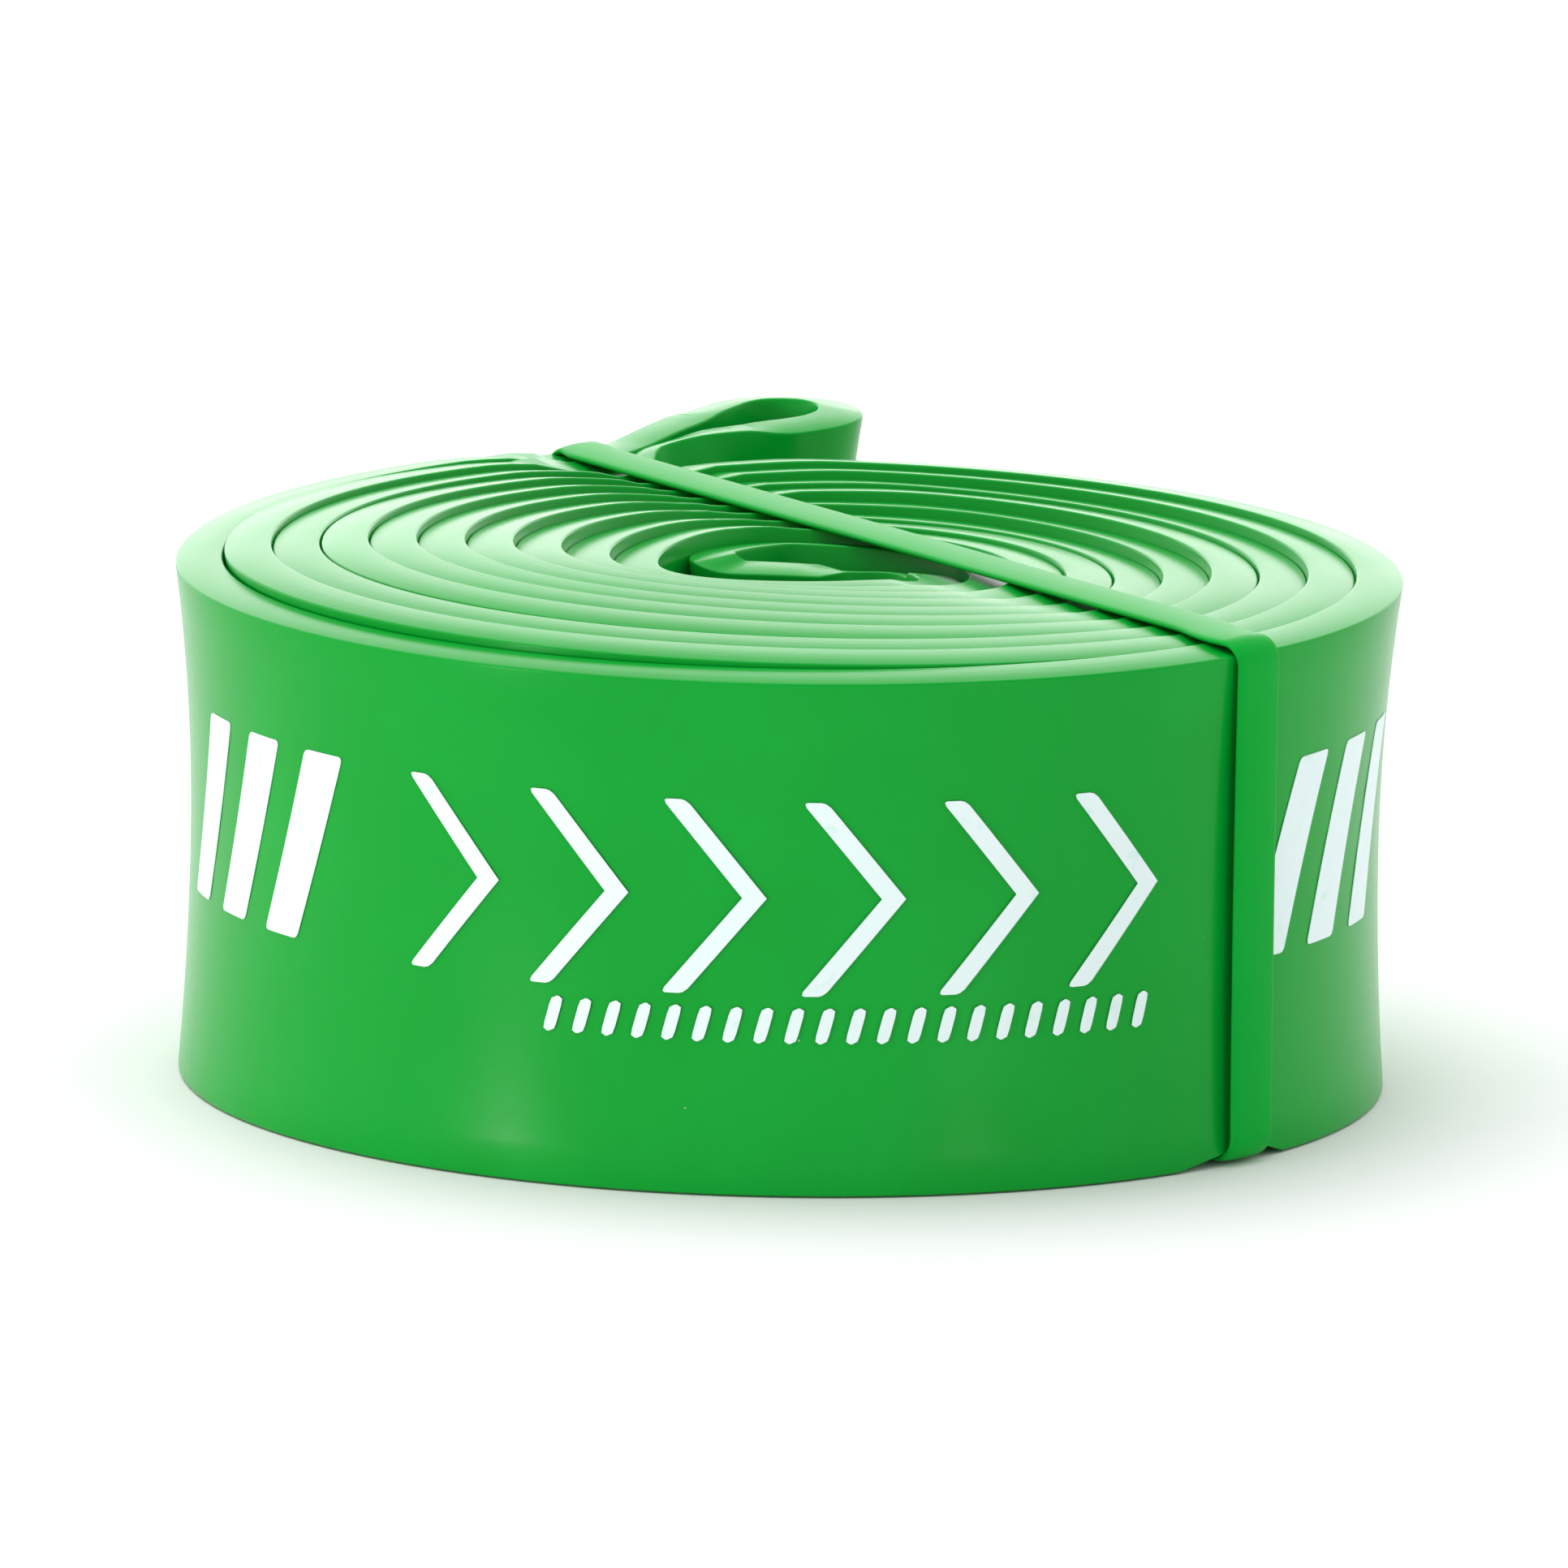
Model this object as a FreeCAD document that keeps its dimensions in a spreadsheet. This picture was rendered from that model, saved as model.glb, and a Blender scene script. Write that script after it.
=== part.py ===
"""A closed latex resistance loop, folded flat, rolled up on edge and held by a narrow elastic tie.

The band is one endless moulded strip. Folded flat it makes two strands, which are wound together round
a hollow core. Both strands leave the coil side by side at the root, turn outwards under the tie, and end
in a free fold, the end loop, which flexes about the root. White ink marks sit on the outer face.

Frame: millimetres, Z up, the coil standing on its edge at Z 0. Plan shapes are worked out round the coil's
axis, and every body is then placed so that the origin is below the middle of the whole part.
"""

import FreeCAD, Part
import math
import os

import Sketcher
from FreeCAD import Placement, Rotation, Vector

DIMENSIONS = {
    # the strip
    "band_width": 44.0,
    "band_thickness": 3.95,
    "layer_gap": 0.15,
    # the coil
    "core_radius": 11.15,
    "full_turns": 4,
    "step_start_deg": 85.0,
    "step_ease": 4.7,
    # the curl at the core
    "core_follow_deg": 17.0,
    "core_bend_radius": 3.2,
    "core_tuck_deg": 70.0,
    "core_tuck_radius": 9.5,
    "core_lean_deg": 125.0,
    "curl_radius": 4.0,
    "curl_overshoot_deg": 15.0,
    "curl_return_radius": 8.0,
    # the root, where both strands leave the coil
    "root_deg": 123.0,
    "root_bend_deg": 24.0,
    "root_bend_radius": 10.0,
    "split_gap": 0.3,
    # the end loop
    "loop_wall": 22.7,
    "loop_tip_radius": 5.6,
    "loop_throat_radius": 6.0,
    "loop_lift": 0.3,
    # the tie
    "tie_width": 5.2,
    "tie_thickness": 1.0,
    "tie_clearance": 0.3,
    "tie_floor_gap": 0.1,
    "tie_angle_deg": 122.8,
    "tie_corner_radius": 1.6,
    # the ink
    "ink_thickness": 0.12,
    "ink_gap": 0.02,
    "mark_bottom": 17.0,
    "mark_height": 16.5,
    "chevron_stroke": 2.1,
    "chevron_reach": 7.0,
    "chevron_pitch": 12.0,
    "chevron_count": 6,
    "bar_stroke": 5.0,
    "bar_slant": 6.5,
    "bar_pitch": 9.0,
    "bar_count": 3,
    "left_bars_deg": -63.0,
    "right_bars_deg": 67.0,
    "tick_bottom": 13.0,
    "tick_height": 3.0,
    "tick_stroke": 1.1,
    "tick_slant": 0.8,
    "tick_pitch": 2.65,
    "tick_count": 21,
    "tick_shift": 6.4,
}


LAYER_PITCH = "(band_thickness + layer_gap)"
COIL_RADIUS = f"(core_radius + 2 * (full_turns + 1) * {LAYER_PITCH} - layer_gap)"


class Sheet:
    """The spreadsheet of driving dimensions."""

    def __init__(self, doc, dimensions):
        self.doc = doc
        self.cells = doc.addObject("Spreadsheet::Sheet", "Dimensions")
        self.cells.Label = "Dimensions"
        for row, (alias, value) in enumerate(dimensions.items(), start=1):
            self.cells.set(f"A{row}", alias)
            self.cells.set(f"B{row}", str(value))
            self.cells.setAlias(f"B{row}", alias)
        doc.recompute()

    def __getattr__(self, alias):
        return float(getattr(self.cells, alias))

    def bind(self, target, prop, expression):
        """Drive a property with an expression in which every alias is written on its own."""
        words = sorted(DIMENSIONS, key=len, reverse=True)
        for word in words:
            expression = expression.replace(word, f"<<{word}>>")
        for word in words:
            expression = expression.replace(f"<<{word}>>", f"Dimensions.{word}")
        target.setExpression(prop, expression)


def unit(degrees):
    """The unit vector at an angle in the XY plane."""
    angle = math.radians(degrees)
    return Vector(math.cos(angle), math.sin(angle), 0)


class Run:
    """One stretch of the strip's centre line: straight when its sweep is 0, otherwise a circular arc."""

    def __init__(self, start, heading, length=0.0, radius=0.0, sweep=0.0):
        self.start = start
        self.heading = heading
        self.length = length
        self.radius = radius
        self.sweep = sweep

    @property
    def side(self):
        """+1 for an arc that turns left, -1 for one that turns right."""
        return math.copysign(1, self.sweep)

    @property
    def end_heading(self):
        return self.heading + self.sweep

    @property
    def centre(self):
        return self.start + unit(self.heading + 90 * self.side) * self.radius

    @property
    def end(self):
        if not self.sweep:
            return self.start + unit(self.heading) * self.length
        return self.centre - unit(self.end_heading + 90 * self.side) * self.radius

    def reversed(self):
        return Run(self.end, self.end_heading + 180, self.length, self.radius, -self.sweep)

    def edge(self, offset):
        """The edge that runs beside this stretch, offset to its left."""
        if not self.sweep:
            shift = unit(self.heading + 90) * offset
            return Part.LineSegment(self.start + shift, self.end + shift)
        circle = Part.Circle(self.centre, Vector(0, 0, 1), self.radius - self.side * offset)
        first = self.heading - 90 * self.side
        last = first + self.sweep
        low, high = sorted((first, last))
        return Part.ArcOfCircle(circle, math.radians(low), math.radians(high))


class Pen:
    """Draws a chain of stretches, each tangent to the one before."""

    def __init__(self, start, heading):
        self.position = start
        self.heading = heading
        self.runs = []

    def _add(self, run):
        self.runs.append(run)
        self.position = run.end
        self.heading = run.end_heading

    def forward(self, length):
        self._add(Run(self.position, self.heading, length=length))

    def left(self, radius, degrees):
        self._add(Run(self.position, self.heading, radius=radius, sweep=degrees))

    def right(self, radius, degrees):
        self._add(Run(self.position, self.heading, radius=radius, sweep=-degrees))


def strip_outline(runs, thickness):
    """The closed outline of a strip of this thickness round a centre line."""
    half = thickness / 2
    first, last = runs[0], runs[-1]
    start_side = unit(first.heading + 90) * half
    end_side = unit(last.end_heading + 90) * half
    left = [run.edge(half) for run in runs]
    right = [run.edge(-half) for run in reversed(runs)]
    end_cap = Part.LineSegment(last.end + end_side, last.end - end_side)
    start_cap = Part.LineSegment(first.start - start_side, first.start + start_side)
    return [*left, end_cap, *right, start_cap]


class Coil:
    """The centre lines of both strands, from the root inwards.

    The outer strand's first stretch, at the root, is the easing arc of a turn that is one double pitch
    wider than the first: so each turn is the one before, moved in by two layers.
    """

    def __init__(self, size):
        self.size = size
        self.pitch = size.band_thickness + size.layer_gap
        self.turns = int(size.full_turns)
        self.outside = size.core_radius + 2 * (self.turns + 1) * self.pitch - size.layer_gap
        self.radius = self.outside - size.band_thickness / 2
        double = 2 * self.pitch
        ease = size.step_ease
        start = size.step_start_deg
        drop = double * (ease + self.pitch) / (ease + (ease + double) * math.cos(math.radians(start)))
        across = drop * math.cos(math.radians(start)) - ease - double
        along = drop * math.sin(math.radians(start))
        self.step_radius = self.radius - drop
        self.ease_radius = self.radius + ease
        self.step_end_deg = math.degrees(math.atan2(along, across))

    def left_point(self, inset):
        """Where a strand that lies this far inside the outer one first crosses the -X side."""
        return Vector(-(self.radius - inset), 0, 0)

    def root(self, inset):
        """The stretches from the left side out to the root, as far as the end loop's plane."""
        size = self.size
        pen = Pen(self.left_point(inset), 90)
        pen.right(self.ease_radius + 2 * self.pitch - inset, 180 - size.root_deg)
        pen.left(size.root_bend_radius + inset, size.root_bend_deg)
        pen.forward(self.split_length())
        return pen.runs

    def root_heading(self):
        return self.size.root_deg - 90 + self.size.root_bend_deg

    def tie_skew_deg(self):
        """How far the tie is from square to the strands that it crosses at the root."""
        return 90 - (self.size.tie_angle_deg - self.root_heading())

    def split_length(self):
        """The straight stretch at the root that the tie's leg needs before the end loop may begin."""
        size = self.size
        skew = math.radians(self.tie_skew_deg())
        reach = size.tie_width / 2 / math.cos(skew)
        slip = (size.band_thickness / 2 + size.tie_clearance + size.tie_thickness) * math.tan(skew)
        return reach + slip + size.tie_clearance

    def turn(self, pen, inset):
        """One whole turn, from the left side round to the left side two layers further in."""
        size = self.size
        pen.left(self.radius - inset, 180 + size.step_start_deg)
        pen.left(self.step_radius - inset, self.step_end_deg - size.step_start_deg)
        pen.left(self.ease_radius - inset, 180 - self.step_end_deg)

    def strand(self, inset, last_sweep):
        """A strand's wound part: its whole turns, then the start of one more."""
        pen = Pen(self.left_point(inset), 270)
        for lap in range(self.turns):
            self.turn(pen, inset + 2 * self.pitch * lap)
        pen.left(self.radius - inset - 2 * self.pitch * self.turns, last_sweep)
        return pen

    def centre_line(self):
        """The whole strip from the outer strand's root, through the core, back to the inner strand's."""
        size = self.size
        wound = 2 * self.pitch * self.turns
        outer = self.strand(0, 180 + size.step_start_deg)
        outer.left(self.step_radius - wound, self.step_end_deg - size.step_start_deg)
        outer.left(self.ease_radius - wound, size.core_follow_deg)
        outer.left(size.core_bend_radius, 270 - self.step_end_deg - size.core_follow_deg)
        inner = self.strand(self.pitch, 90 + size.core_tuck_deg)
        inner.left(size.core_tuck_radius, size.core_lean_deg - size.core_tuck_deg)
        overshoot = 180 + size.curl_overshoot_deg
        probe = Pen(inner.position, inner.heading)
        self.curl(probe, overshoot)
        rise = (outer.position.y - probe.position.y) / unit(inner.heading).y
        inner.forward(rise)
        self.curl(inner, overshoot)
        outer.forward(inner.position.x - outer.position.x)
        outer_root = [run.reversed() for run in reversed(self.root(0))]
        inner_back = [run.reversed() for run in reversed(inner.runs)]
        return outer_root + outer.runs + inner_back + self.root(self.pitch)

    def curl(self, pen, overshoot):
        """The tight fold that joins the strands: past the far wall's heading, then back to it."""
        size = self.size
        pen.left(size.curl_radius, overshoot - size.core_lean_deg)
        pen.right(size.curl_return_radius, size.curl_overshoot_deg)


def loop_line(size, coil):
    """The end loop's centre line, from the inner strand's root round the tip to the outer strand's."""
    outer = coil.root(0)[-1]
    inner = coil.root(coil.pitch)[-1]
    wall = size.loop_wall - coil.split_length() - size.split_gap
    throat = size.loop_throat_radius
    tip = size.loop_tip_radius
    across = tip - coil.pitch - throat
    spread = math.hypot(wall, across)
    turn = math.degrees(math.atan2(across, wall) + math.asin((throat + tip) / spread))
    straight = math.sqrt(spread**2 - (throat + tip) ** 2)
    start = inner.end + unit(inner.heading) * size.split_gap
    pen = Pen(start, inner.heading)
    pen.right(throat, turn)
    pen.forward(straight)
    pen.left(tip, 180 + turn)
    pen.forward(wall)
    miss = (pen.position - outer.end - unit(outer.heading) * size.split_gap).Length
    assert miss < 1e-6, f"the end loop misses the root by {miss} mm"
    return pen.runs


def plane(body, role):
    """One of a body's own origin planes."""
    return next(feature for feature in body.Origin.OriginFeatures if feature.Role == role)


def new_body(doc, label):
    body = doc.addObject("PartDesign::Body", label)
    body.Label = label
    return body


def new_sketch(body, name, role="XY_Plane"):
    sketch = body.newObject("Sketcher::SketchObject", name)
    sketch.AttachmentSupport = (plane(body, role), [""])
    sketch.MapMode = "FlatFace"
    return sketch


def polygon(sketch, points):
    """A closed outline through these points, with its corners joined and its edges fixed in place."""
    first = sketch.GeometryCount
    ends = points[1:] + points[:1]
    for start, end in zip(points, ends):
        index = sketch.addGeometry(Part.LineSegment(start, end), False)
        if index > first:
            sketch.addConstraint(Sketcher.Constraint("Coincident", index - 1, 2, index, 1))
    sketch.addConstraint(Sketcher.Constraint("Coincident", sketch.GeometryCount - 1, 2, first, 1))


def padded_strip(doc, sheet, label, runs):
    """A strip on edge: its outline in plan, as tall as the band is wide."""
    body = new_body(doc, label)
    sketch = new_sketch(body, label + "_plan")
    sketch.addGeometry(strip_outline(runs, sheet.band_thickness), False)
    pad = body.newObject("PartDesign::Pad", label + "_pad")
    pad.Profile = sketch
    sheet.bind(pad, "Length", "band_width")
    doc.recompute()
    return body


class Tie:
    """Where the tie lies: its line in plan, and its length and height."""

    def __init__(self, size, coil):
        self.along = unit(size.tie_angle_deg)
        self.across = unit(size.tie_angle_deg - 90)
        root_point = coil.root(0)[1].end
        self.offset = root_point.dot(self.across)
        skew = math.radians(coil.tie_skew_deg())
        half = size.tie_width / 2
        wall = size.band_thickness / 2 / math.cos(skew)
        self.back = root_point.dot(self.along) + wall + half * math.tan(skew) + size.tie_clearance
        near_edge = self.offset - half
        self.front = -math.sqrt(coil.outside**2 - near_edge**2) - size.tie_clearance
        self.bottom = size.tie_floor_gap + size.tie_thickness
        self.top = size.band_width + size.tie_clearance
        self.middle = self.across * self.offset


def rounded_rectangle(sketch, low, high, radius):
    """A rectangle with round corners, its arcs tangent to its sides."""
    x0, z0 = low
    x1, z1 = high
    corners = [(x1 - radius, z1 - radius, 0), (x0 + radius, z1 - radius, 90),
               (x0 + radius, z0 + radius, 180), (x1 - radius, z0 + radius, 270)]
    normal = Vector(0, 0, 1)
    previous = None
    first = None
    for x, z, start in corners:
        circle = Part.Circle(Vector(x, z, 0), normal, radius)
        arc = Part.ArcOfCircle(circle, math.radians(start), math.radians(start + 90))
        if previous is not None:
            sketch.addGeometry(Part.LineSegment(previous, arc.StartPoint), False)
        else:
            first = arc.StartPoint
        sketch.addGeometry(arc, False)
        previous = arc.EndPoint
    sketch.addGeometry(Part.LineSegment(previous, first), False)


def make_tie(doc, sheet, tie):
    """The elastic tie: a flat closed loop round the coil, drawn in its own upright plane."""
    body = new_body(doc, "tie_strap")
    sketch = new_sketch(body, "tie_loop", "XZ_Plane")
    thick = sheet.tie_thickness
    outer_low = (tie.front - thick, tie.bottom - thick)
    outer_high = (tie.back + thick, tie.top + thick)
    corner = sheet.tie_corner_radius
    rounded_rectangle(sketch, outer_low, outer_high, corner)
    rounded_rectangle(sketch, (tie.front, tie.bottom), (tie.back, tie.top), corner - thick)
    pad = body.newObject("PartDesign::Pad", "tie_pad")
    pad.Profile = sketch
    pad.Midplane = True
    sheet.bind(pad, "Length", "tie_width")
    doc.recompute()
    return body


def cut_channel(doc, sheet, body, tie):
    """The channel that the tie presses into the band's lower edges."""
    before = body.Shape.Volume
    sketch = new_sketch(body, "tie_channel")
    half = sheet.tie_width / 2 + sheet.tie_clearance
    points = [tie.middle + tie.along * end + tie.across * (half * side)
              for end, side in ((tie.front, -1), (tie.front, 1), (tie.back, 1), (tie.back, -1))]
    polygon(sketch, points)
    pocket = body.newObject("PartDesign::Pocket", "tie_channel_pocket")
    pocket.Profile = sketch
    pocket.Reversed = True
    sheet.bind(pocket, "Length", "tie_floor_gap + tie_thickness + tie_clearance")
    doc.recompute()
    assert body.Shape.Volume < before - 1, "the channel cuts nothing"


def slanted_bar(left, low, width, height, slant):
    """A parallelogram that leans to its right by slant."""
    top = left + slant
    high = low + height
    corners = ((left, low), (left + width, low), (top + width, high), (top, high))
    return [Vector(x, z, 0) for x, z in corners]


def chevron(left, low, stroke, reach, height):
    """A chevron that points right."""
    middle = low + height / 2
    high = low + height
    corners = ((left, low), (left + stroke, low), (left + stroke + reach, middle), (left + stroke, high),
               (left, high), (left + reach, middle))
    return [Vector(x, z, 0) for x, z in corners]


def row_start(count, pitch, width):
    """The left end of a row of equal marks that is centred on 0."""
    return -((count - 1) * pitch + width) / 2


def chevron_marks(size):
    start = row_start(size.chevron_count, size.chevron_pitch, size.chevron_stroke + size.chevron_reach)
    return [chevron(start + size.chevron_pitch * n, size.mark_bottom, size.chevron_stroke,
                    size.chevron_reach, size.mark_height) for n in range(int(size.chevron_count))]


def bar_marks(size):
    start = row_start(size.bar_count, size.bar_pitch, size.bar_stroke + size.bar_slant)
    return [slanted_bar(start + size.bar_pitch * n, size.mark_bottom, size.bar_stroke,
                        size.mark_height, size.bar_slant) for n in range(int(size.bar_count))]


def tick_marks(size):
    start = size.tick_shift + row_start(size.tick_count, size.tick_pitch, size.tick_stroke + size.tick_slant)
    return [slanted_bar(start + size.tick_pitch * n, size.tick_bottom, size.tick_stroke,
                        size.tick_height, size.tick_slant) for n in range(int(size.tick_count))]


def make_ink(doc, sheet, label, marks, radius):
    """A thin film of ink on the band's outer face: the marks' prisms, cut to the film's two cylinders.

    The marks are drawn on the flat strip, so each corner's distance along it becomes an arc round the coil.
    """
    body = new_body(doc, label + "_prisms")
    sketch = new_sketch(body, label + "_outline", "XZ_Plane")
    for points in marks:
        polygon(sketch, [Vector(radius * math.sin(point.x / radius), point.y, 0) for point in points])
    pad = body.newObject("PartDesign::Pad", label + "_pad")
    pad.Profile = sketch
    sheet.bind(pad, "Length", f"{COIL_RADIUS} + band_thickness")
    outer = doc.addObject("Part::Cylinder", label + "_skin")
    inner = doc.addObject("Part::Cylinder", label + "_face")
    for cylinder in (outer, inner):
        sheet.bind(cylinder, "Height", "band_width")
    sheet.bind(inner, "Radius", f"{COIL_RADIUS} + ink_gap")
    sheet.bind(outer, "Radius", f"{COIL_RADIUS} + ink_gap + ink_thickness")
    film = doc.addObject("Part::Cut", label + "_film")
    film.Base = outer
    film.Tool = inner
    ink = doc.addObject("Part::Common", label)
    ink.Base = film
    ink.Tool = body
    ink.Label = label
    doc.recompute()
    return ink


def check(doc, nodes):
    """Stop if any object failed, or any sub-part has no valid solid."""
    for item in doc.Objects:
        assert not {"Invalid", "Error"} & set(item.State), f"{item.Name}: {item.State}"
    for node in nodes:
        shape = node.Shape
        assert not shape.isNull() and shape.isValid() and shape.Solids, f"{node.Label} is no solid"


def main():
    doc = FreeCAD.newDocument("ResistanceBand")
    sheet = Sheet(doc, DIMENSIONS)
    coil = Coil(sheet)
    tie = Tie(sheet, coil)
    loop = loop_line(sheet, coil)

    band = padded_strip(doc, sheet, "rolled_band", coil.centre_line())
    cut_channel(doc, sheet, band, tie)
    end_loop = padded_strip(doc, sheet, "end_loop", loop)
    strap = make_tie(doc, sheet, tie)
    chevrons = make_ink(doc, sheet, "ink_chevrons", chevron_marks(sheet), coil.outside)
    left_bars = make_ink(doc, sheet, "ink_left_bars", bar_marks(sheet), coil.outside)
    right_bars = make_ink(doc, sheet, "ink_right_bars", bar_marks(sheet), coil.outside)
    ticks = make_ink(doc, sheet, "ink_tick_row", tick_marks(sheet), coil.outside)

    tip_top = end_loop.Shape.BoundBox.YMax
    centre = Vector(0, (tip_top - coil.outside) / 2, 0)
    upright = Vector(0, 0, 1)
    band.Placement = Placement(-centre, Rotation())
    end_loop.Placement = Placement(Vector(0, 0, sheet.loop_lift) - centre, Rotation())
    strap.Placement = Placement(tie.middle - centre, Rotation(upright, sheet.tie_angle_deg))
    chevrons.Placement = Placement(-centre, Rotation())
    ticks.Placement = Placement(-centre, Rotation())
    left_bars.Placement = Placement(-centre, Rotation(upright, sheet.left_bars_deg))
    right_bars.Placement = Placement(-centre, Rotation(upright, sheet.right_bars_deg))
    doc.recompute()

    nodes = [band, end_loop, strap, chevrons, left_bars, right_bars, ticks]
    check(doc, nodes)
    os.makedirs("parts", exist_ok=True)
    for node in nodes:
        node.Shape.exportStep(f"parts/{node.Label}.step")
        box = node.Shape.BoundBox
        spans = zip("XYZ", (box.XMin, box.YMin, box.ZMin), (box.XMax, box.YMax, box.ZMax))
        reach = " ".join(f"{axis} {low:.2f}..{high:.2f}" for axis, low, high in spans)
        print(f"{node.Label}: {len(node.Shape.Solids)} solids, {node.Shape.Volume:.1f} mm3, {reach}")
    pivot = coil.root(0)[-1].end + unit(coil.root_heading() + 90) * (sheet.band_thickness / 2) - centre
    print(f"centre {centre.y:.3f}, pivot {pivot.x:.3f} {pivot.y:.3f}, tie direction {tie.across}")
    length = sum(run.length + run.radius * math.radians(abs(run.sweep)) for run in coil.centre_line() + loop)
    print(f"length of the strip's centre line: {length:.0f} mm")


main()
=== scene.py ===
"""The looks of a rolled-up latex loop band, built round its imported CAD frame.

The band is one endless strip. A straight bar is modelled first, then laid along the coil's centre line, which
is drafted here as tangent stretches, and shaped as rolled rubber is: its faces draw in at mid-height, its
lips lean outwards, and inner layers stand a little proud of the outer ones at the front. Everything is in
metres, in the frame of the CAD model.
"""

import logging
import math
from collections.abc import Callable
from dataclasses import dataclass, field
from enum import Enum

import bpy
import numpy as np
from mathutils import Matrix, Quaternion, Vector

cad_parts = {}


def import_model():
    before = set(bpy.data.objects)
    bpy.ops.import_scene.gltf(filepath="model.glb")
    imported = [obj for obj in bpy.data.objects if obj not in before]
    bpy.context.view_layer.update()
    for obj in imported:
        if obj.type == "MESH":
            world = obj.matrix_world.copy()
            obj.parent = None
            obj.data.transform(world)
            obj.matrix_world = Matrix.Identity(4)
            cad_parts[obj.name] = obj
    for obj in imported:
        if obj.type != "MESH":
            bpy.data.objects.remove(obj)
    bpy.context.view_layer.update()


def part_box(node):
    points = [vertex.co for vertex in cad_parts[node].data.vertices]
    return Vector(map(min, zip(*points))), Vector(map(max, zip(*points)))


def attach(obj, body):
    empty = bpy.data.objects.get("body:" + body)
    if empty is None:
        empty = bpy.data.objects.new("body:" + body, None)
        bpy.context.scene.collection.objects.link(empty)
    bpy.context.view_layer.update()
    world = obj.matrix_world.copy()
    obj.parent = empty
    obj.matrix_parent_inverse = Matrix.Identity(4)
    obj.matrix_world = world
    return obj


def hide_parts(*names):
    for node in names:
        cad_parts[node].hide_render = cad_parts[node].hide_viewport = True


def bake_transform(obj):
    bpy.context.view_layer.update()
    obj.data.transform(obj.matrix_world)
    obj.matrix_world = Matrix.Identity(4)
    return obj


LOG = logging.getLogger("band")
MM = 0.001
BLUR_STEPS = 8
BLUR_REACH = 9
Piece = bpy.types.Object
Array = np.ndarray
Colour = tuple[float, float, float, float]


# ---- centre lines


@dataclass(frozen=True)
class Stretch:
    """One stretch of a centre line: straight when its sweep is 0, otherwise a circular arc.

    Attributes:
        start: where it begins, in plan.
        heading: its direction there, in degrees.
        length: a straight stretch's length.
        radius: an arc's radius.
        sweep: an arc's turn in degrees, positive to the left.
    """

    start: tuple[float, float]
    heading: float
    length: float = 0.0
    radius: float = 0.0
    sweep: float = 0.0

    @property
    def reach(self) -> float:
        """The stretch's length along its line."""
        return self.length if not self.sweep else self.radius * math.radians(abs(self.sweep))

    @property
    def curvature(self) -> float:
        """The signed curvature, positive where the line turns left."""
        return math.copysign(1 / self.radius, self.sweep) if self.sweep else 0.0

    def at(self, distance: float) -> tuple[float, float, float]:
        """The point and heading this far along.

        Args:
            distance: how far along the stretch, in metres.

        Returns:
            x, y and the heading in degrees.
        """
        x, y = self.start
        if not self.sweep:
            angle = math.radians(self.heading)
            return x + distance * math.cos(angle), y + distance * math.sin(angle), self.heading
        side = math.copysign(1, self.sweep)
        turned = self.heading + side * math.degrees(distance / self.radius)
        first, last = math.radians(self.heading), math.radians(turned)
        reach = side * self.radius
        x += reach * (math.sin(last) - math.sin(first))
        y -= reach * (math.cos(last) - math.cos(first))
        return x, y, turned

    def backwards(self) -> "Stretch":
        """The same stretch, followed the other way."""
        x, y, heading = self.at(self.reach)
        return Stretch((x, y), heading + 180, self.length, self.radius, -self.sweep)


@dataclass
class Draft:
    """Drafts a chain of stretches, each tangent to the one before."""

    point: tuple[float, float]
    heading: float
    stretches: list[Stretch] = field(default_factory=list)

    def _add(self, stretch: Stretch) -> None:
        """Adds a stretch and moves to its end."""
        self.stretches.append(stretch)
        x, y, self.heading = stretch.at(stretch.reach)
        self.point = (x, y)

    def forward(self, length: float) -> None:
        """Goes straight on."""
        self._add(Stretch(self.point, self.heading, length=length))

    def left(self, radius: float, degrees: float) -> None:
        """Turns left round an arc."""
        self._add(Stretch(self.point, self.heading, radius=radius, sweep=degrees))

    def right(self, radius: float, degrees: float) -> None:
        """Turns right round an arc."""
        self._add(Stretch(self.point, self.heading, radius=radius, sweep=-degrees))


@dataclass
class Stations:
    """Cross-section places along a centre line, with headings in radians and smoothed, signed curvature."""

    along: Array
    x: Array
    y: Array
    heading: Array
    curvature: Array

    @classmethod
    def of(cls, stretches: list[Stretch], step: float, turn: float, blur: float) -> "Stations":
        """Sets stations out along a chain of stretches.

        Args:
            stretches: the centre line.
            step: the longest distance between two stations.
            turn: the largest turn between two, in degrees.
            blur: the distance over which curvature is smoothed.

        Returns:
            The stations.
        """
        rows = []
        done = 0.0
        for number, stretch in enumerate(stretches):
            count = max(1, math.ceil(stretch.reach / step), math.ceil(abs(stretch.sweep) / turn))
            last = number == len(stretches) - 1
            for k in range(count + (1 if last else 0)):
                distance = stretch.reach * k / count
                rows.append((done + distance, *stretch.at(distance), stretch.curvature))
            done += stretch.reach
        table = np.array(rows)
        along = table[:, 0]
        even = np.arange(0, done + blur / BLUR_STEPS, blur / BLUR_STEPS)
        raw = np.interp(even, along, table[:, 4])
        kernel = np.hanning(2 * BLUR_REACH + 1)
        padded = np.pad(raw, BLUR_REACH, mode="edge")
        smooth = np.convolve(padded, kernel / kernel.sum(), mode="valid")
        return cls(along, table[:, 1], table[:, 2], np.radians(table[:, 3]), np.interp(along, even, smooth))

    @property
    def count(self) -> int:
        """How many stations there are."""
        return len(self.along)

    def owners(self, points: Array) -> Array:
        """The station that each vertex of a straight bar belongs to."""
        return np.clip(np.rint(points[:, 0]).astype(int), 0, self.count - 1)


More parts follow.
